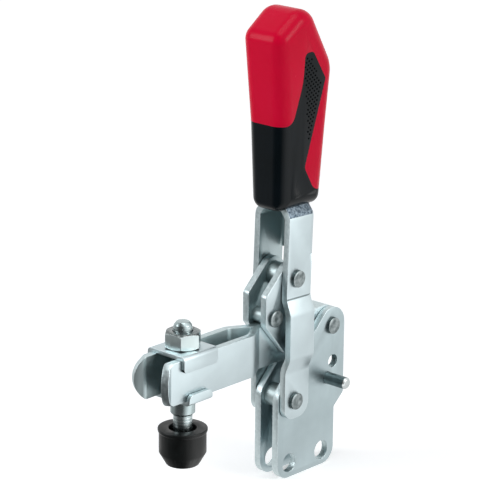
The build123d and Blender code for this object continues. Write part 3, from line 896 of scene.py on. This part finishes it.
@dataclass
class LeverAssembly:
    """Formed lever, its rivet and the safety grip.

    The dots' panel is given in X and Z from the lever's pivot. Its rear edge runs from
    the low to the high corner and its upper edge on to the tip.
    """

    bench: Bench
    rivets: Rivets
    web_above_pivot: float = 8.5 * MM
    neck_above_web: float = 10.0 * MM
    crease_below_pivot: float = 7.9 * MM
    crease_height: float = 0.8 * MM
    crease_turn: tuple[float, float] = (0.96, 0.99)
    web_margin: float = 0.1 * MM
    seam_round: float = 0.28 * MM
    dot_radius: float = 0.42 * MM
    dot_height: float = 0.30 * MM
    dot_pitch: float = 1.7 * MM
    dot_ray: float = 100.0 * MM
    dot_rows: int = 9
    dots_in_row: int = 30
    dot_facets: int = 12
    panel_rear_low: tuple[float, float] = (5.4 * MM, 104.0 * MM)
    panel_rear_high: tuple[float, float] = (12.3 * MM, 129.6 * MM)
    panel_tip: tuple[float, float] = (5.8 * MM, 140.4 * MM)
    panel_front: tuple[float, float] = (3.4 * MM, 118.0 * MM)
    panel_front_lean: float = -0.12
    panel_top: float = 140.2 * MM
    panel_margin: float = 1.0 * MM
    first_row: float = 1.1 * MM
    row_squeeze: float = 0.8

    def build(self) -> None:
        """Builds the lever and its grip."""
        pivot = middle_of("link_pivot_rivet")
        web = pivot.z + self.web_above_pivot
        neck = web + self.neck_above_web
        crease = pivot.z - self.crease_below_pivot

        def pick(normal: Vector, middle: Vector) -> int:
            """Picks the finish of one of the lever's faces.

            Args:
                normal: the face's normal.
                middle: the face's middle.

            Returns:
                1 if sheared, 2 for the darker mottled faces above the neck, 3 for painted shade
                inside and on faces turned to the front, 4 for painted shade on the crease facet
                and 0 for the rest.
            """
            inner = normal.y * middle.y < 0.0 and abs(normal.y) > LEANING
            level = abs(middle.z - crease) < self.crease_height / 2
            # The crease facet takes a painted shade.
            if level and not inner and self.crease_turn[0] < abs(normal.y) < self.crease_turn[1]:
                return 4
            if middle.z < web + self.web_margin and not inner:
                return int(abs(normal.y) < MOSTLY)
            if normal.x < -NEARLY and middle.x < pivot.x:
                return 1
            # Inside faces and faces turned to the front take the painted shade.
            if inner or normal.x < -LEANING:
                return 3
            # Upward faces above the neck take the darker mottled sheet.
            return 2 * int(middle.z > neck and abs(normal.z) > LEANING)

        self.bench.part(
            Body.LEVER, "handle_lever", "formed",
            [PLATED_SHEET, SHEARED_EDGE, DARK_NECK_SHEET, INNER_SHADE_SHEET, CREASE_SHADE], pick,
        )
        shanks = {"link_pivot_rivet": self.rivets.pivot_shank}
        self.rivets.row("lever_rivet", Body.LEVER, shanks)
        self.bench.part(Body.LEVER, "grip_core", "moulded", [RED_GRIP], width=self.seam_round)
        self._dots(self.bench.part(
            Body.LEVER, "grip_sleeve", "moulded", [BLACK_GRIP], width=self.seam_round
        ))

    def _dots(self, sleeve: Object) -> None:
        """Raised dots on both sides of the sleeve's panel.

        Args:
            sleeve: the piece that the dots stand on.
        """
        tree = ShapeTree(
            "grip dots", "Surface", Dot_Radius=self.dot_radius, Dot_Height=self.dot_height
        )
        given = tree.given
        surface = tree.add("GeometryNodeObjectInfo", {"Object": given["Surface"]})
        start = tree.add("GeometryNodeInputPosition")
        hit = tree.add("GeometryNodeRaycast", {
            "Target Geometry": surface.outputs["Geometry"], "Source Position": start,
            "Ray Direction": tree.vector("MULTIPLY", start, -AXIS_Y), "Ray Length": self.dot_ray,
        }).outputs
        facing = tree.add("GeometryNodeStoreNamedAttribute", {
            "Geometry": given["Geometry"], "Name": FACING, "Value": hit["Hit Normal"],
        }, data_type="FLOAT_VECTOR")
        missed = tree.add("FunctionNodeBooleanMath", {0: hit["Is Hit"]}, operation="NOT")
        kept = tree.add(
            "GeometryNodeDeleteGeometry", {"Geometry": facing, "Selection": missed}, domain="POINT"
        )
        landed = tree.add(
            "GeometryNodeSetPosition", {"Geometry": kept, "Position": hit["Hit Position"]}
        )
        dot = tree.add("GeometryNodeMeshUVSphere", {
            "Segments": self.dot_facets, "Rings": self.dot_facets // 2, "Radius": 1.0,
        })
        tree.repeat(landed, dot, "Z", given["Dot Radius"], given["Dot Height"])
        points = bpy.data.meshes.new("grip dots")
        points.from_pydata([
            (x, way * self.dot_ray / 2, z) for way in SIDES.values() for x, z in self._dot_places()
        ], [], [])
        dots = tree.run("grip_dots", points, self.bench.paint(DOT_GRIP), Surface=sleeve)
        self.bench.keep(dots, Body.LEVER, DOT_GRIP)

    def _dot_places(self) -> list[tuple[float, float]]:
        """Places of the dots on the panel, in slanted rows.

        Returns:
            Their X and Z.
        """
        pivot = middle_of("lever_pivot_rivet").xz
        low, high = Vector(self.panel_rear_low), Vector(self.panel_rear_high)
        along = (high - low).normalized()
        inward = Vector((-along.y, along.x))
        edge = (Vector(self.panel_tip) - high).normalized()
        front_x, front_z = self.panel_front
        places = []
        for row in range(self.dot_rows):
            start = low + inward * (self.first_row + self.row_squeeze * self.dot_pitch * row)
            for step in range(self.dots_in_row):
                spot = start + along * self.dot_pitch * (step + 0.5 * (row % 2))
                inside = edge.cross(spot - high)
                front = front_x + (spot.y - front_z) * self.panel_front_lean
                if inside >= self.panel_margin and spot.x >= front and spot.y <= self.panel_top:
                    places.append(tuple(pivot + spot))
        return places


@dataclass
class LinkAssembly:
    """Link plates with their bush, spacer and rivets."""

    bench: Bench
    rivets: Rivets

    def build(self) -> None:
        """Builds every piece of the link."""
        for side, way in SIDES.items():
            # The inner faces take the painted shade.
            self.bench.part(
                Body.LINK, f"link_plate_{side}", "pressed",
                [PLATED_SHEET, SHEARED_EDGE, INNER_SHADE_SHEET], partial(sheet_face, way=way),
            )
        for node in ("link_top_bush", "stop_spacer"):
            self.bench.part(Body.LINK, node, "turned", [BUSH_STEEL])
        self.rivets.row("link_rivets", Body.LINK, {
            "arm_link_rivet": self.rivets.pivot_shank, "stop_rivet": self.rivets.stop_shank,
        })


@dataclass
class ArmAssembly:
    """Bars of the clamping arm and the core of their rear pivot."""

    bench: Bench

    def build(self) -> None:
        """Builds the arm."""
        for side, way in SIDES.items():
            # The inner faces take the painted shade.
            self.bench.part(
                Body.ARM, f"arm_bar_{side}", "formed",
                [PLATED_SHEET, SHEARED_EDGE, INNER_SHADE_SHEET], partial(sheet_face, way=way),
            )
        self.bench.part(Body.ARM, "arm_pivot_core", "turned", [BUSH_STEEL])


@dataclass
class SaddleAssembly:
    """Saddles on the arm and the two nuts of the spindle."""

    bench: Bench
    lip_height: float = 0.4 * MM

    def build(self) -> None:
        """Builds the carriage."""
        for node, lip, shaded in (("upper_saddle", 0.0, 0.75), ("lower_saddle", 1.0, 0.0)):
            self._saddle(node, lip, shaded)
        # The nut's top and bottom faces take the painted shade.
        self.bench.part(
            Body.CARRIAGE, "hex_nut", "machined", [NUT_FLAT, NUT_FACE_SHADE],
            lambda normal, middle: int(abs(normal.z) > LEANING),
        )
        self.bench.part(Body.CARRIAGE, "collar_nut", "machined", [TURNED_STEEL])

    def _saddle(self, node: str, lip: float, shaded: float) -> None:
        """Builds one saddle, whose heights are shares of its own height.

        Args:
            node: its CAD node.
            lip: the height of its flanges' sheared lips.
            shaded: the height up to which its flanges' front ends are in shade.
        """
        low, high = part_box(node)
        tall = high.z - low.z

        def pick(normal: Vector, middle: Vector) -> int:
            """Picks the finish of one of the saddle's faces.

            Args:
                normal: the face's normal.
                middle: the face's middle.

            Returns:
                1 for a sheared face, 2 for a shaded front end and 0 for the rest.
            """
            if normal.x < -MOSTLY and middle.z < low.z + shaded * tall:
                return 2
            at_lip = abs(middle.z - low.z - lip * tall) < self.lip_height / 2
            return int(at_lip or abs(normal.x) > MOSTLY)

        self.bench.part(
            Body.CARRIAGE, node, "pressed", [PLATED_SHEET, SHEARED_EDGE, SHADED_EDGE], pick
        )


@dataclass
class SpindleAssembly:
    """Threaded clamping spindle and its rubber cap.

    The dome's corners are given as the inset from the crest, the drop from the top and
    the rounding.
    """

    bench: Bench
    pitch: float = 1.25 * MM
    depth: float = 0.68 * MM
    crest: float = 3.98 * MM
    facets: int = 64
    helix_facets: int = 48
    flank_width: float = 0.96
    foot_radius: float = 6.75 * MM
    foot_round: float = 0.3 * MM
    foot_below_cap_top: float = 5.5 * MM
    thread_above_foot: float = 0.4 * MM
    thread_below_top: float = 2.5 * MM
    run_out_turns: float = 0.45
    run_out_drop: float = 0.6 * MM
    neck_below_top: float = 2.6 * MM
    dome: tuple[Corner, ...] = (
        (0.3 * MM, 2.3 * MM, 0.1 * MM), (0.5 * MM, 1.2 * MM, 0.4 * MM), (1.5 * MM, 0.0, 0.5 * MM),
    )
    cap_round: float = 0.35 * MM
    tree: ShapeTree = field(init=False)

    def __post_init__(self) -> None:
        """Builds the tree that sweeps a thread's three-sided ridge along a helix."""
        self.tree = tree = ShapeTree(
            "thread ridge", Start_Radius=self.crest, End_Radius=self.crest, Turns=1.0,
            Pitch=self.pitch, Depth=self.depth,
        )
        given = tree.given
        turns, pitch = given["Turns"], given["Pitch"]
        reach = tree.number("MULTIPLY", given["Depth"], 2 / 3)
        width = tree.number("MULTIPLY", pitch, self.flank_width / math.sqrt(3))
        helix = tree.add("GeometryNodeCurveSpiral", {
            "Resolution": self.helix_facets, "Reverse": False, "Rotations": turns,
            "Start Radius": tree.number("SUBTRACT", given["Start Radius"], reach),
            "End Radius": tree.number("SUBTRACT", given["End Radius"], reach),
            "Height": tree.number("MULTIPLY", turns, pitch),
        })
        upright = tree.add("GeometryNodeSetCurveNormal", {0: helix}, mode="Z_UP")
        ridge = tree.add("GeometryNodeCurvePrimitiveCircle", {"Resolution": 3, "Radius": 1.0})
        size = tree.add("ShaderNodeCombineXYZ", {"X": reach, "Y": width, "Z": 1.0})
        section = tree.add("GeometryNodeTransform", {"Geometry": ridge, "Scale": size})
        tree.close(tree.add("GeometryNodeCurveToMesh", {
            "Curve": upright, "Profile Curve": section, "Fill Caps": True,
        }))

    def build(self) -> None:
        """Builds the spindle and the cap."""
        low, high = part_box("clamping_spindle")
        middle = (low + high) / 2
        centre = Vector((middle.x, middle.y, 0.0))
        root = self.crest - self.depth
        foot_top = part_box("rubber_cap")[1].z - self.foot_below_cap_top
        profile = rounded([
            (0.0, low.z, 0.0), (self.foot_radius, low.z, self.foot_round),
            (self.foot_radius, foot_top, self.foot_round), (root, foot_top, 0.0),
            (root, high.z - self.neck_below_top, 0.0),
            *((self.crest - inset, high.z - drop, curve) for inset, drop, curve in self.dome),
            (0.0, high.z, 0.0),
        ])
        steel = self.bench.paint(TURNED_STEEL)
        rod = as_mesh("spindle rod", turned(profile, centre, AXIS_Z, self.facets))
        start = foot_top + self.thread_above_foot
        length = high.z - self.thread_below_top - start
        turns = length / self.pitch
        stretches = [new_object("spindle_rod", rod, [steel])]
        for foot, count, drop, spin in (
            (start, turns, 0.0, 0.0),
            (start + length, self.run_out_turns, self.run_out_drop, math.tau * (turns % 1.0)),
        ):
            ridge = self.tree.run(
                "spindle_thread", bpy.data.meshes.new("thread"), steel,
                End_Radius=self.crest - drop, Turns=count,
            )
            place = Matrix.Translation(centre + AXIS_Z * foot) @ Matrix.Rotation(spin, 4, "Z")
            ridge.data.transform(place)
            stretches.append(ridge)
        whole = joined("clamping_spindle_threaded", *stretches)
        self.bench.keep(whole, Body.SPINDLE, TURNED_STEEL, "clamping_spindle")
        self.bench.part(
            Body.SPINDLE, "rubber_cap", "moulded", [CAP_RUBBER], width=self.cap_round
        )


# ---- studio
def direction(azimuth: float, elevation: float) -> Vector:
    """Turns two angles into a direction.

    Args:
        azimuth: degrees from -Y towards +X.
        elevation: degrees above the horizon.

    Returns:
        The unit direction.
    """
    turn, rise = math.radians(azimuth), math.radians(elevation)
    level = math.cos(rise)
    return Vector((math.sin(turn) * level, -math.cos(turn) * level, math.sin(rise)))


@dataclass(frozen=True)
class Softbox:
    """A square lamp that faces the clamp's middle.

    Its radiance is 1 where its face is as bright as the white surround.
    """

    name: str
    azimuth: float
    elevation: float
    distance: float
    size: float
    radiance: float
    colour: Colour
    aim: tuple[float, float, float] = (-0.02, 0.0, 0.09)

    def hang(self) -> None:
        """Links the lamp into the scene."""
        away = direction(self.azimuth, self.elevation)
        lamp = bpy.data.lights.new(self.name, "AREA")
        lamp.shape, lamp.size, lamp.color = "SQUARE", self.size, self.colour
        lamp.energy = self.radiance * math.pi * self.size * self.size
        obj = bpy.data.objects.new(self.name, lamp)
        obj.location = Vector(self.aim) + away * self.distance
        obj.rotation_euler = away.to_track_quat("Z", "Y").to_euler()
        bpy.context.scene.collection.objects.link(obj)


@dataclass
class Studio:
    """Floor, world, lamps and camera.

    The anchor is a point of the clamp that the camera sees at the anchor's pixel. Each of
    the sides that a gloss sees brighter or darker is an azimuth, the angles from it within
    which the gain is whole and past which it is gone, in degrees, and the gain.
    """

    azimuth: float = -47.5
    elevation: float = 17.0
    roll: float = 0.5
    film_width: float = 36.0
    clip: tuple[float, float] = (0.05, 50.0)
    focal_pixels: float = 2500.0
    frame_pixels: float = 480.0
    distance: float = 1.0
    anchor: tuple[float, float, float] = (-0.0102, -0.0110, 0.0276)
    anchor_pixel: tuple[float, float] = (298.4, 401.8)
    floor_colour: Colour = (0.86, 0.865, 0.87)
    floor_reach: float = 7.0
    floor_gap: float = 0.05 * MM
    near_glow: tuple[float, float] = (0.2, 0.46)
    far_glow: tuple[float, float] = (1.2, 0.75)
    world_strength: float = 0.30
    world_colour: Colour = (0.93, 0.96, 1.0)
    sides: tuple[tuple[float, float, float, float], ...] = (
        (-75.0, 20.0, 60.0, 0.10), (16.0, 8.0, 32.0, 1.6), (-140.0, 10.0, 45.0, 0.45),
    )
    sides_centre: tuple[float, float, float] = (-0.06, 0.0, 0.0)
    lamps: tuple[Softbox, ...] = (
        Softbox("key softbox", 16.0, 24.0, 1.1, 0.4, 7.2, (1.0, 0.985, 0.97)),
        Softbox("left softbox", -124.0, 24.0, 1.0, 0.5, 5.4, (0.96, 0.98, 1.0)),
        Softbox("top softbox", -47.0, 80.0, 1.2, 0.6, 3.2, (1.0, 1.0, 1.0)),
    )

    def build(self) -> None:
        """Builds the whole studio."""
        self._camera()
        self._floor()
        self._world()
        for lamp in self.lamps:
            lamp.hang()
        bpy.context.scene.view_settings.view_transform = "Standard"

    def _camera(self) -> None:
        """Camera at the fitted place, angle and focal length."""
        back = direction(self.azimuth, self.elevation)
        turn, lean = math.radians(self.azimuth), math.radians(self.roll)
        level = Vector((math.cos(turn), math.sin(turn), 0.0))
        steep = back.cross(level)
        right = level * math.cos(lean) + steep * math.sin(lean)
        up = steep * math.cos(lean) - level * math.sin(lean)
        half = self.frame_pixels / 2
        across = (self.anchor_pixel[0] - half) / self.focal_pixels * self.distance
        above = (half - self.anchor_pixel[1]) / self.focal_pixels * self.distance
        eye = Vector(self.anchor) - right * across - up * above + back * self.distance
        lens = bpy.data.cameras.new("camera")
        lens.sensor_width = self.film_width
        lens.lens = self.focal_pixels / self.frame_pixels * lens.sensor_width
        lens.clip_start, lens.clip_end = self.clip
        camera = bpy.data.objects.new("camera", lens)
        camera.matrix_world = Matrix.Translation(eye) @ Matrix(
            [(right[n], up[n], back[n]) for n in range(3)]
        ).to_4x4()
        bpy.context.scene.collection.objects.link(camera)
        bpy.context.scene.camera = camera

    def _tone(self, bench: NodeBench) -> Node:
        """Brightness that a gloss sees, which is darker on some sides of the clamp.

        Args:
            bench: the bench of a tree whose Object coordinates start at the base.

        Returns:
            The brightness, 1 where the surround is plain white.
        """
        level = bench.vector(
            "MULTIPLY", bench.vector("SUBTRACT", bench.place(), self.sides_centre),
            (1.0, 1.0, 0.0),
        )
        outward = bench.vector("NORMALIZE", level)
        tone: object = 1.0
        for azimuth, full, faded, gain in self.sides:
            share = bench.add("ShaderNodeMapRange", {
                "Value": bench.vector("DOT_PRODUCT", outward, direction(azimuth, 0.0)),
                "From Min": math.cos(math.radians(faded)),
                "From Max": math.cos(math.radians(full)), "To Min": 1.0, "To Max": gain,
            }, interpolation_type="SMOOTHSTEP")
            tone = bench.number("MULTIPLY", tone, share)
        return tone

    @staticmethod
    def _seen(bench: NodeBench, rays: NodeOutputs) -> Node:
        """1 for what the camera, a gloss or a glass sees directly, otherwise 0."""
        first = bench.number("MAXIMUM", rays["Is Camera Ray"], rays["Is Glossy Ray"])
        return bench.number("MAXIMUM", first, rays["Is Transmission Ray"])

    def _floor(self) -> None:
        """Plain pale floor under the base, which glows where it is seen directly."""
        work = bmesh.new()
        bmesh.ops.create_grid(work, x_segments=1, y_segments=1, size=self.floor_reach)
        drop = (0.0, 0.0, CAD_BOX[0][2] - self.floor_gap)
        bmesh.ops.translate(work, verts=work.verts, vec=drop)
        paint = bpy.data.materials.new("pale floor")
        paint.use_nodes = True
        bench = NodeBench(paint.node_tree)
        paint.node_tree.nodes.remove(paint.node_tree.nodes["Principled BSDF"])
        rays = bench.add("ShaderNodeLightPath").outputs
        glow = bench.add("ShaderNodeMapRange", {
            "Value": bench.vector("LENGTH", bench.place()),
            "From Min": self.near_glow[0], "To Min": self.near_glow[1],
            "From Max": self.far_glow[0], "To Max": self.far_glow[1],
        })
        lift = bench.number("MULTIPLY", self._seen(bench, rays), glow)
        both = bench.add("ShaderNodeAddShader", {
            0: bench.add("ShaderNodeBsdfDiffuse", {"Color": (*self.floor_colour, 1.0)}),
            1: bench.add("ShaderNodeEmission", {"Strength": lift}),
        })
        mirrored = bench.add("ShaderNodeEmission", {"Strength": self._tone(bench)})
        choice = bench.add(
            "ShaderNodeMixShader", {0: rays["Is Glossy Ray"], 1: both, 2: mirrored}
        )
        bench.feed(paint.node_tree.nodes["Material Output"], {"Surface": choice})
        new_object("floor", as_mesh("floor", work), [paint])

    def _world(self) -> None:
        """Even pale surround, white where it is seen directly."""
        world = bpy.context.scene.world or bpy.data.worlds.new("surround")
        bpy.context.scene.world = world
        world.use_nodes = True
        world.node_tree.nodes.clear()
        bench = NodeBench(world.node_tree)
        rays = bench.add("ShaderNodeLightPath").outputs
        level = bench.mix(rays["Is Glossy Ray"], 1.0, self._tone(bench), "FLOAT")
        white = (1.0, 1.0, 1.0, 1.0)
        choice = bench.add("ShaderNodeMixShader", {
            0: self._seen(bench, rays),
            1: bench.add("ShaderNodeBackground", {
                "Color": (*self.world_colour, 1.0), "Strength": self.world_strength,
            }),
            2: bench.add("ShaderNodeBackground", {"Color": white, "Strength": level}),
        })
        bench.add("ShaderNodeOutputWorld", {"Surface": choice})


def main() -> None:
    """Builds the studio and every sub-assembly."""
    logging.basicConfig(level=logging.INFO, format="%(name)s: %(message)s")
    Studio().build()
    bench = Bench(SurfaceGroups())
    rivets = Rivets(bench)
    for assembly in (
        BaseAssembly(bench, rivets),
        LeverAssembly(bench, rivets),
        LinkAssembly(bench, rivets),
        ArmAssembly(bench),
        SaddleAssembly(bench),
        SpindleAssembly(bench),
    ):
        assembly.build()
    rivets.clear()
    LOG.info("%d pieces", len(bench.made))


if __name__ == "__main__":
    main()
